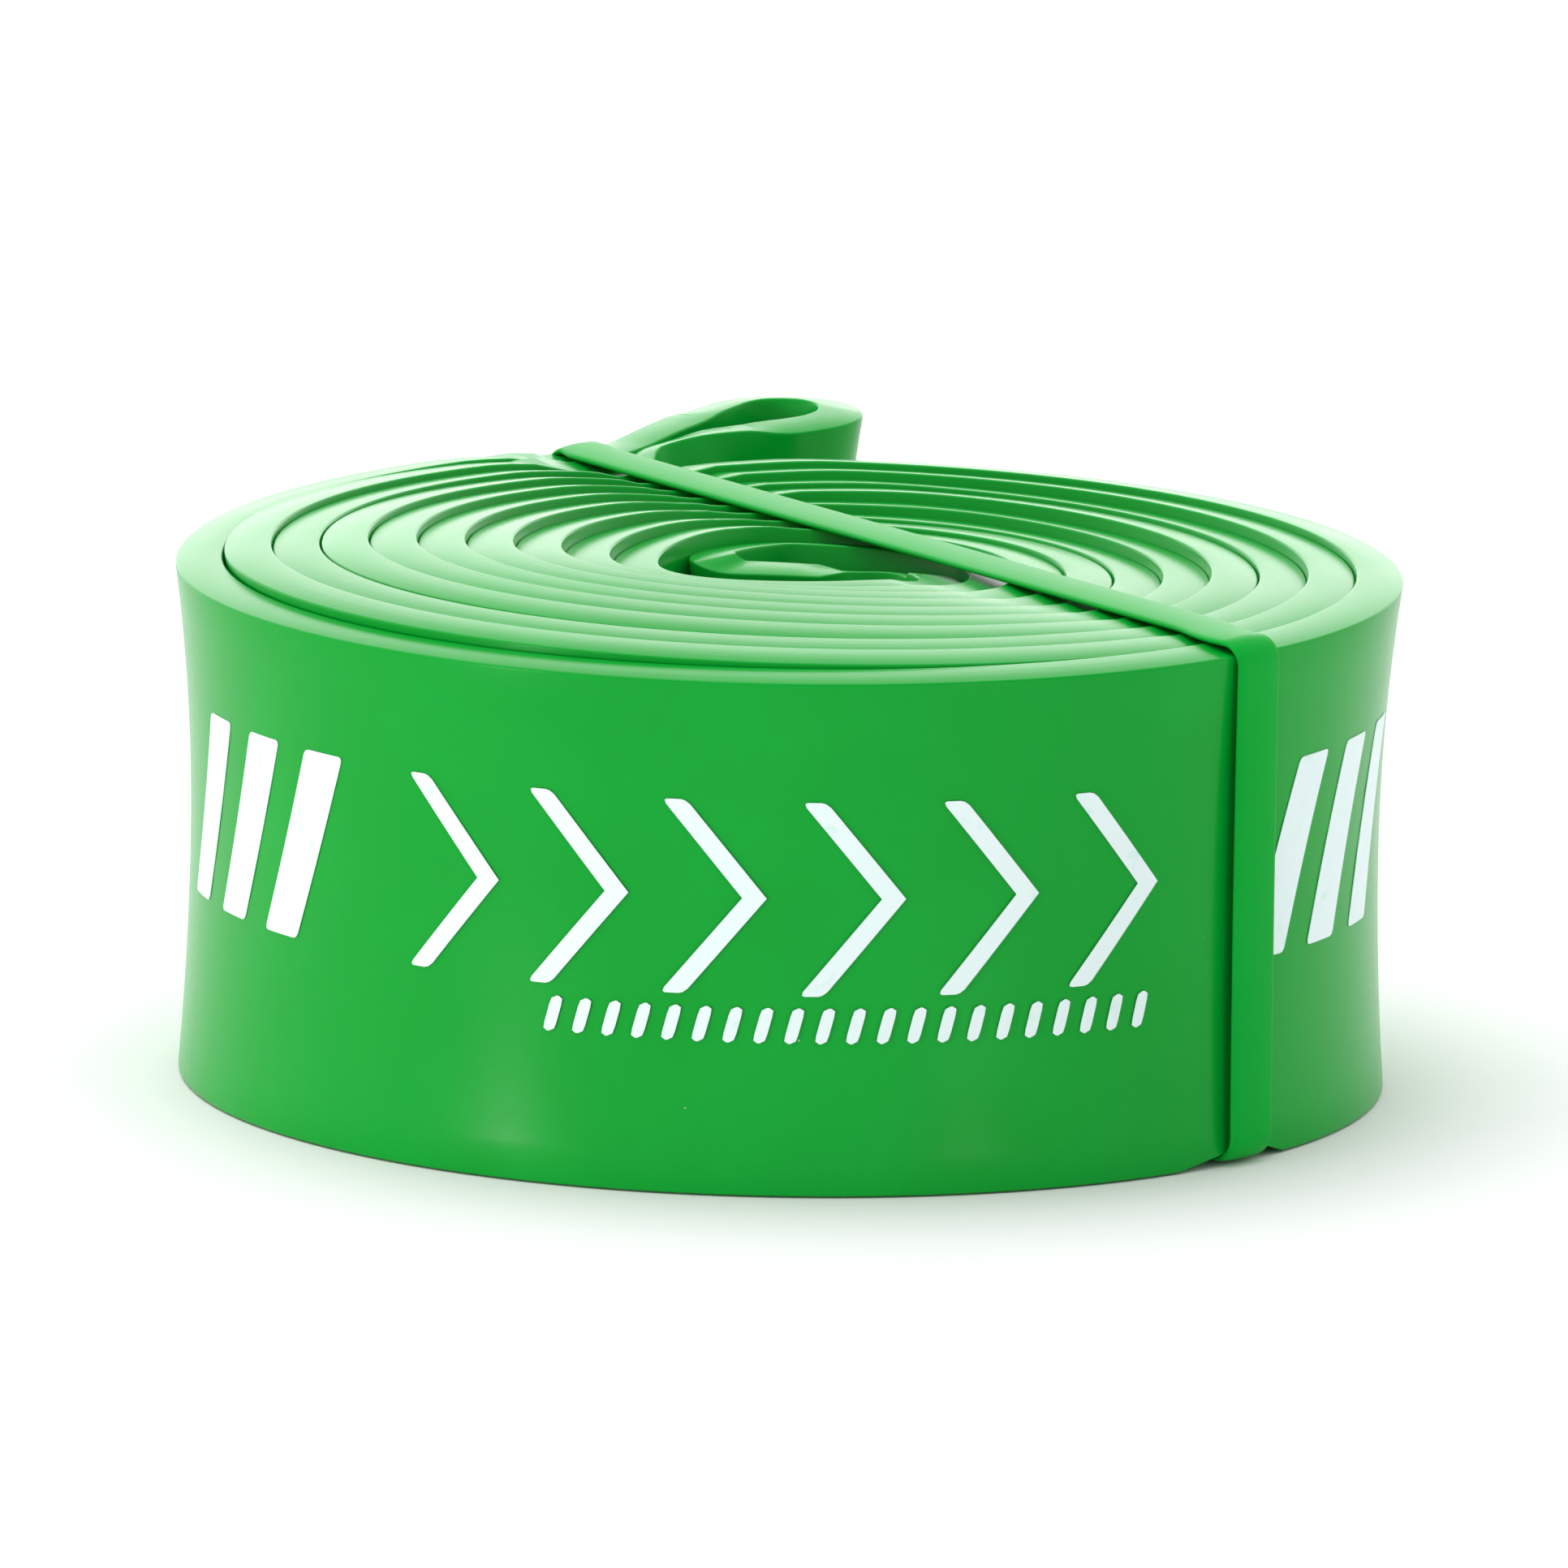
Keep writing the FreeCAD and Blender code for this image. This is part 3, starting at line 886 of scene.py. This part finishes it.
@dataclass
class Print:
    """A group of marks, printed on the coil's outer face.

    Attributes:
        round_off: how far the marks' ends are rounded.
        proud: how far off the face the film lies.
    """

    lie: Lie
    thickness: float = 0.06 * MM
    round_off: float = 0.45 * MM
    proud: float = 0.02 * MM

    def mark(self, mark: Mark, turned: float) -> Piece:
        """One mark's film: a fine grid that is shaped to the mark, laid on the face and thickened.

        Args:
            mark: the mark.
            turned: the middle of its group, in degrees round the coil from the front.

        Returns:
            The film.
        """
        low, high = mark.rows[0][0], mark.rows[-1][0]
        wide = mark.rows[0][2]
        columns = max(4, math.ceil(wide / (1.1 * MM)))
        steps = max(8, 2 * math.ceil((high - low) / (1.2 * MM)))
        Bench.clear()
        bpy.ops.mesh.primitive_grid_add(x_subdivisions=columns, y_subdivisions=steps, size=1)
        film = bpy.context.object
        flat = Bench.points(film)
        share = flat[:, 1] + 0.5
        crowded = 0.5 - 0.5 * np.cos(np.pi * np.minimum(2 * share, 2 - 2 * share))
        spread = np.where(share < 0.5, crowded * 0.5, 1 - 0.5 * crowded)
        height = low + (high - low) * spread
        table = np.array(mark.rows)
        middle = np.interp(height, table[:, 0], table[:, 1])
        end = np.clip(np.minimum(height - low, high - height) / self.round_off, 0, 1)
        width = wide - 2 * self.round_off * (1 - np.sqrt(1 - (1 - end) ** 2))
        arc = middle + flat[:, 0] * width + math.radians(turned) * self.lie.plan.outside
        Bench.place(film, self.lie.face(arc, height, np.full(len(arc), self.proud)))
        solid = film.modifiers.new("film", "SOLIDIFY")
        solid.thickness = self.thickness
        solid.offset = 1.0
        bpy.ops.object.modifier_apply(modifier=solid.name)
        Bench.edit(Select.FACES)
        return Bench.face_outwards()

    def group(self, name: str, marks: list[Mark], turned: float) -> Piece:
        """Several marks as one piece.

        Args:
            name: the piece's name.
            marks: its marks.
            turned: where its middle is, in degrees round the coil from the front.

        Returns:
            The piece.
        """
        films = [self.mark(mark, turned) for mark in marks]
        Bench.clear()
        for film in films:
            film.select_set(True)
        bpy.context.view_layer.objects.active = films[0]
        bpy.ops.object.join()
        piece = bpy.context.object
        piece.name = name
        piece.data.name = name
        return Bench.smooth(piece)


@dataclass(frozen=True)
class MarkSizes:
    """The sizes of the printed marks, as on the CAD model."""

    bottom: float = 17.0 * MM
    top: float = 33.5 * MM
    chevron_stroke: float = 2.1 * MM
    chevron_reach: float = 7.0 * MM
    chevron_pitch: float = 12.0 * MM
    chevron_count: int = 6
    bar_stroke: float = 5.0 * MM
    bar_slant: float = 6.5 * MM
    bar_pitch: float = 9.0 * MM
    bar_count: int = 3
    left_bars: float = -63.0
    right_bars: float = 67.0
    tick_bottom: float = 13.0 * MM
    tick_top: float = 16.0 * MM
    tick_stroke: float = 1.1 * MM
    tick_slant: float = 0.8 * MM
    tick_pitch: float = 2.65 * MM
    tick_count: int = 21
    tick_shift: float = 6.4 * MM

    @staticmethod
    def starts(count: int, pitch: float, width: float) -> list[float]:
        """The left ends of a centred row of equal marks."""
        return [pitch * number - ((count - 1) * pitch + width) / 2 for number in range(count)]

    def chevrons(self) -> list[Mark]:
        """The row of chevrons at the front."""
        stroke, reach = self.chevron_stroke, self.chevron_reach
        starts = self.starts(self.chevron_count, self.chevron_pitch, stroke + reach)
        return [Mark.chevron(left, self.bottom, stroke, self.top, reach) for left in starts]

    def bars(self) -> list[Mark]:
        """The heavy slanted bars at either side."""
        starts = self.starts(self.bar_count, self.bar_pitch, self.bar_stroke + self.bar_slant)
        return [Mark.bar(left, self.bottom, self.bar_stroke, self.top, self.bar_slant) for left in starts]

    def ticks(self) -> list[Mark]:
        """The row of small ticks below the chevrons."""
        starts = self.starts(self.tick_count, self.tick_pitch, self.tick_stroke + self.tick_slant)
        return [Mark.bar(left + self.tick_shift, self.tick_bottom, self.tick_stroke, self.tick_top,
                         self.tick_slant) for left in starts]


# ---- finishes


class Sock:
    """A node socket that takes part in Python expressions."""

    def __init__(self, kit: "Nodes", socket: bpy.types.NodeSocket) -> None:
        self.kit = kit
        self.socket = socket

    def _maths(self, operation: str, *values: object) -> "Sock":
        """Adds a Math node on these values."""
        settings = {"operation": operation}
        return self.kit.add("ShaderNodeMath", settings, dict(enumerate(values)))

    def __add__(self, other: object) -> "Sock":
        """Sum."""
        return self._maths("ADD", self, other)

    def __radd__(self, other: object) -> "Sock":
        """Sum, reflected."""
        return self._maths("ADD", other, self)

    def __sub__(self, other: object) -> "Sock":
        """Difference."""
        return self._maths("SUBTRACT", self, other)

    def __rsub__(self, other: object) -> "Sock":
        """Difference, reflected."""
        return self._maths("SUBTRACT", other, self)

    def __mul__(self, other: object) -> "Sock":
        """Product."""
        return self._maths("MULTIPLY", self, other)

    def __gt__(self, other: object) -> "Sock":
        """1 where greater, else 0."""
        return self._maths("GREATER_THAN", self, other)

    def ramp(self, low: float, high: float, bottom: float = 0.0, top: float = 1.0) -> "Sock":
        """Maps low..high smoothly to bottom..top."""
        settings = {"interpolation_type": "SMOOTHSTEP"}
        return self.kit.add("ShaderNodeMapRange", settings, {0: self, 1: low, 2: high, 3: bottom, 4: top})


class Nodes:
    """A node tree, with one way to make a node."""

    def __init__(self, owner: bpy.types.Material | bpy.types.World) -> None:
        """Empties the owner's tree."""
        self.owner = owner
        owner.use_nodes = True
        self.tree = owner.node_tree
        self.tree.nodes.clear()

    def add(self, kind: str, settings: dict | None = None, inputs: dict | None = None,
            out: int | str = 0) -> Sock:
        """Adds a node.

        Args:
            kind: the node's type.
            settings: its own settings, made first.
            inputs: values or links by socket name or number.
            out: which output is wanted.

        Returns:
            That output.
        """
        node = self.tree.nodes.new(kind)
        for name, value in (settings or {}).items():
            setattr(node, name, value)
        for name, value in (inputs or {}).items():
            self.feed(node.inputs[name], value)
        return Sock(self, node.outputs[out])

    def feed(self, socket: bpy.types.NodeSocket, value: object) -> None:
        """Links or sets one input."""
        if isinstance(value, Sock):
            self.tree.links.new(value.socket, socket)
        else:
            socket.default_value = value

    def blend(self, factor: object, first: object, second: object) -> Sock:
        """Mixes two colours."""
        settings = {"data_type": "RGBA"}
        return self.add("ShaderNodeMix", settings, {0: factor, 6: first, 7: second}, out=2)

    def noise(self, place: Sock, scale: float, detail: float) -> Sock:
        """A cloudy pattern."""
        return self.add("ShaderNodeTexNoise", None, {"Vector": place, "Scale": scale, "Detail": detail})

    def finish(self, inputs: dict) -> bpy.types.Material:
        """Adds a material's shader and its output."""
        shader = self.add("ShaderNodeBsdfPrincipled", None, inputs)
        output = self.tree.nodes.new("ShaderNodeOutputMaterial")
        self.feed(output.inputs["Surface"], shader)
        return self.owner


def rgba(red: float, green: float, blue: float) -> Colour:
    """An opaque colour."""
    return (red, green, blue, 1.0)


@dataclass(frozen=True)
class LatexFinish:
    """Moulded latex: saturated, satin, faintly mottled, combed along its edges, with a few pale specks."""

    name: str
    body: Colour
    deep: Colour
    speck: Colour = rgba(0.35, 0.62, 0.40)
    roughness: float = 0.24
    sheen: float = 0.15
    specks: bool = True

    def build(self) -> bpy.types.Material:
        """Makes the material."""
        kit = Nodes(bpy.data.materials.new(self.name))
        strip = kit.add("ShaderNodeAttribute", {"attribute_name": "strip"}, out="Vector")
        place = kit.add("ShaderNodeTexCoord", out="Object")
        cloud = kit.noise(place, 55.0, 3.0)
        grain = kit.noise(place, 2400.0, 2.0)
        stretched = kit.add("ShaderNodeVectorMath", {"operation": "MULTIPLY"},
                            {0: strip, 1: (50.0, 4200.0, 300.0)})
        lines = kit.noise(stretched, 1.0, 2.0)
        colour = kit.blend(cloud.ramp(0.35, 0.7), self.deep, self.body)
        if self.specks:
            cell = kit.add("ShaderNodeTexVoronoi", None, {"Vector": place, "Scale": 190.0, "Randomness": 1.0})
            dust = (0.022 - cell).ramp(0.0, 0.010)
            colour = kit.blend(dust * (cloud > 0.52), colour, self.speck)
        rough = self.roughness + (cloud - 0.5) * 0.10
        relief = {}
        for height, strength, depth in ((cloud, 0.08, 0.6), (lines, 0.10, 0.12), (grain, 0.04, 0.04)):
            bump = kit.add("ShaderNodeBump", None,
                           {"Strength": strength, "Distance": depth * MM, "Height": height, **relief})
            relief = {"Normal": bump}
        return kit.finish({"Base Color": colour, "Roughness": rough, "IOR": 1.5,
                           "Specular IOR Level": self.sheen, **relief})


@dataclass(frozen=True)
class InkFinish:
    """White print with a faintly cold cast, a little thin in places."""

    name: str = "white_ink"
    ink: Colour = rgba(0.80, 0.93, 0.93)
    thin: Colour = rgba(0.66, 0.88, 0.80)

    def build(self) -> bpy.types.Material:
        """Makes the material."""
        kit = Nodes(bpy.data.materials.new(self.name))
        place = kit.add("ShaderNodeTexCoord", out="Object")
        patch = kit.noise(place, 420.0, 4.0)
        colour = kit.blend(patch.ramp(0.58, 0.75), self.ink, self.thin)
        return kit.finish({"Base Color": colour, "Roughness": patch.ramp(0.3, 0.7, 0.40, 0.55),
                           "Specular IOR Level": 0.2})


@dataclass(frozen=True)
class FloorFinish:
    """A plain white surface."""

    name: str = "white_floor"
    colour: Colour = rgba(0.92, 0.92, 0.92)

    def build(self) -> bpy.types.Material:
        """Makes the material."""
        kit = Nodes(bpy.data.materials.new(self.name))
        return kit.finish({"Base Color": self.colour, "Roughness": 0.9, "Specular IOR Level": 0.1})


def dress(piece: Piece, material: bpy.types.Material) -> None:
    """Gives a piece its one material."""
    piece.data.materials.clear()
    piece.data.materials.append(material)


def ride(piece: Piece, material: bpy.types.Material, body: str, node: str) -> None:
    """Dresses a piece and fixes it to a body, in place of a CAD node.

    Args:
        piece: the piece.
        material: its material.
        body: the body it rides.
        node: the node that it replaces.
    """
    dress(piece, material)
    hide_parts(node)
    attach(piece, body)
    LOG.info("%s: %d vertices", piece.name, len(piece.data.vertices))


# ---- studio


@dataclass
class Studio:
    """The camera, the light and the floor.

    Attributes:
        elevation: how far above the ground the camera looks from, in degrees.
        roll: its turn about its own line, in degrees.
        front_sky: the surround's strength where the camera stands.
        back_glow: what the horizon behind the coil adds.
        right_loss: what is taken off at the right.
        lamps: each lamp's name, place, side and power in watts.
    """

    plan: CoilPlan
    elevation: float = 11.04
    distance: float = 2.3433
    aim_x: float = -0.144 * MM
    aim_z: float = 25.14 * MM
    roll: float = 1.026
    lens: float = 634.4
    front_sky: float = 0.72
    back_sky: float = 1.36
    back_glow: float = 1.7
    right_loss: float = 0.26
    lamps: tuple[tuple[str, tuple[float, float, float], float, float], ...] = (
        ("key", (-0.18, 0.05, 1.0), 0.7, 3.4),
        ("left_glint", (-0.80, -0.64, 0.03), 0.10, 3.0),
        ("right_glint", (0.57, -0.83, 0.03), 0.08, 0.5))

    def camera(self) -> None:
        """A long lens, low in front, turned very slightly."""
        rise = math.radians(self.elevation)
        aim = Vector((self.aim_x, self.plan.axis_y, self.aim_z))
        back = Vector((0, -math.cos(rise), math.sin(rise)))
        data = bpy.data.cameras.new("camera")
        data.sensor_width = 36.0
        data.lens = self.lens
        data.clip_end = 20
        seat = self.hang(data, aim + back * self.distance, -back, self.roll)
        bpy.context.scene.camera = seat

    @staticmethod
    def hang(data: bpy.types.ID, place: Vector, look: Vector, roll: float = 0.0) -> Piece:
        """Puts a camera or a lamp at a place, turned to look this way."""
        seat = bpy.data.objects.new(data.name, data)
        seat.location = place
        turn = look.to_track_quat("-Z", "Y") @ Quaternion((0, 0, 1), math.radians(roll))
        seat.rotation_euler = turn.to_euler()
        bpy.context.scene.collection.objects.link(seat)
        return seat

    def lamp(self, name: str, place: tuple[float, float, float], size: float, power: float) -> None:
        """A soft square light that faces the coil.

        Args:
            name: its name.
            place: where it hangs.
            size: its side.
            power: its power in watts.
        """
        data = bpy.data.lights.new(name, "AREA")
        data.shape = "SQUARE"
        data.size = size
        data.energy = power
        self.hang(data, Vector(place), Vector((0, self.plan.axis_y, 0.02)) - Vector(place))

    def world(self) -> None:
        """A white surround: brightest low behind the coil, dimmer at the camera's side and to the right."""
        world = bpy.data.worlds.new("surround")
        kit = Nodes(world)
        way = kit.add("ShaderNodeTexCoord", out="Generated")
        right, away, up = (kit.add("ShaderNodeSeparateXYZ", None, {0: way}, out=axis) for axis in "XYZ")
        glow = away.ramp(0.72, 0.96, 0.0, self.back_glow) * up.ramp(-0.2, 0.6, 1.0, 0.35)
        level = away.ramp(-0.9, 0.5, self.front_sky, self.back_sky) + glow
        level = level - right.ramp(-0.8, 0.8, 0.0, self.right_loss)
        back = kit.add("ShaderNodeBackground", None, {"Color": rgba(1, 1, 1), "Strength": level})
        output = kit.tree.nodes.new("ShaderNodeOutputWorld")
        kit.feed(output.inputs["Surface"], back)
        bpy.context.scene.world = world
        bpy.context.scene.view_settings.view_transform = "Standard"

    def floor(self) -> Piece:
        """A wide white sheet under the coil."""
        Bench.clear()
        bpy.ops.mesh.primitive_plane_add(size=6, location=(0, 0, 0))
        sheet = bpy.context.object
        sheet.name = "floor"
        dress(sheet, FloorFinish().build())
        return sheet

    def build(self) -> None:
        """Sets everything up."""
        self.camera()
        self.world()
        for name, place, size, power in self.lamps:
            self.lamp(name, place, size, power)
        self.floor()


# ---- the whole


def main() -> None:
    """Builds every piece in order; the wound band, the tie and the prints ride bodies, and the end loop is
    only baked in place.
    """
    logging.basicConfig(level=logging.INFO, format="%(name)s: %(message)s")
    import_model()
    low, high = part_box("rolled_band")
    plan = CoilPlan(width=high.z, outside=high.x, axis_y=low.y + high.x)
    strap = StrapLine.over_coil(plan)
    lie = Lie(plan, strap)
    Studio(plan).build()

    latex = LatexFinish("green_latex", rgba(0.0015, 0.36, 0.032), rgba(0.001, 0.335, 0.027)).build()
    tie_rubber = LatexFinish("tie_rubber", rgba(0.0025, 0.385, 0.037), rgba(0.002, 0.365, 0.033),
                             roughness=0.34, sheen=0.05, specks=False).build()
    ink = InkFinish().build()

    band = Band(plan, lie)
    ride(band.wound(), latex, "coil", "rolled_band")

    loop = band.end_loop()
    dress(loop, latex)
    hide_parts("end_loop")
    root = plan.root_point() + Vector((0, plan.axis_y, 0))
    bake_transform(loop)

    ride(Tie(plan, strap, lie).model(), tie_rubber, "tie", "tie_strap")

    sizes = MarkSizes()
    printer = Print(lie)
    for name, marks, turned, node in (
            ("chevron_print", sizes.chevrons(), 0.0, "ink_chevrons"),
            ("left_bar_print", sizes.bars(), sizes.left_bars, "ink_left_bars"),
            ("right_bar_print", sizes.bars(), sizes.right_bars, "ink_right_bars"),
            ("tick_print", sizes.ticks(), 0.0, "ink_tick_row")):
        ride(printer.group(name, marks, turned), ink, "coil", node)


if __name__ == "__main__":
    main()
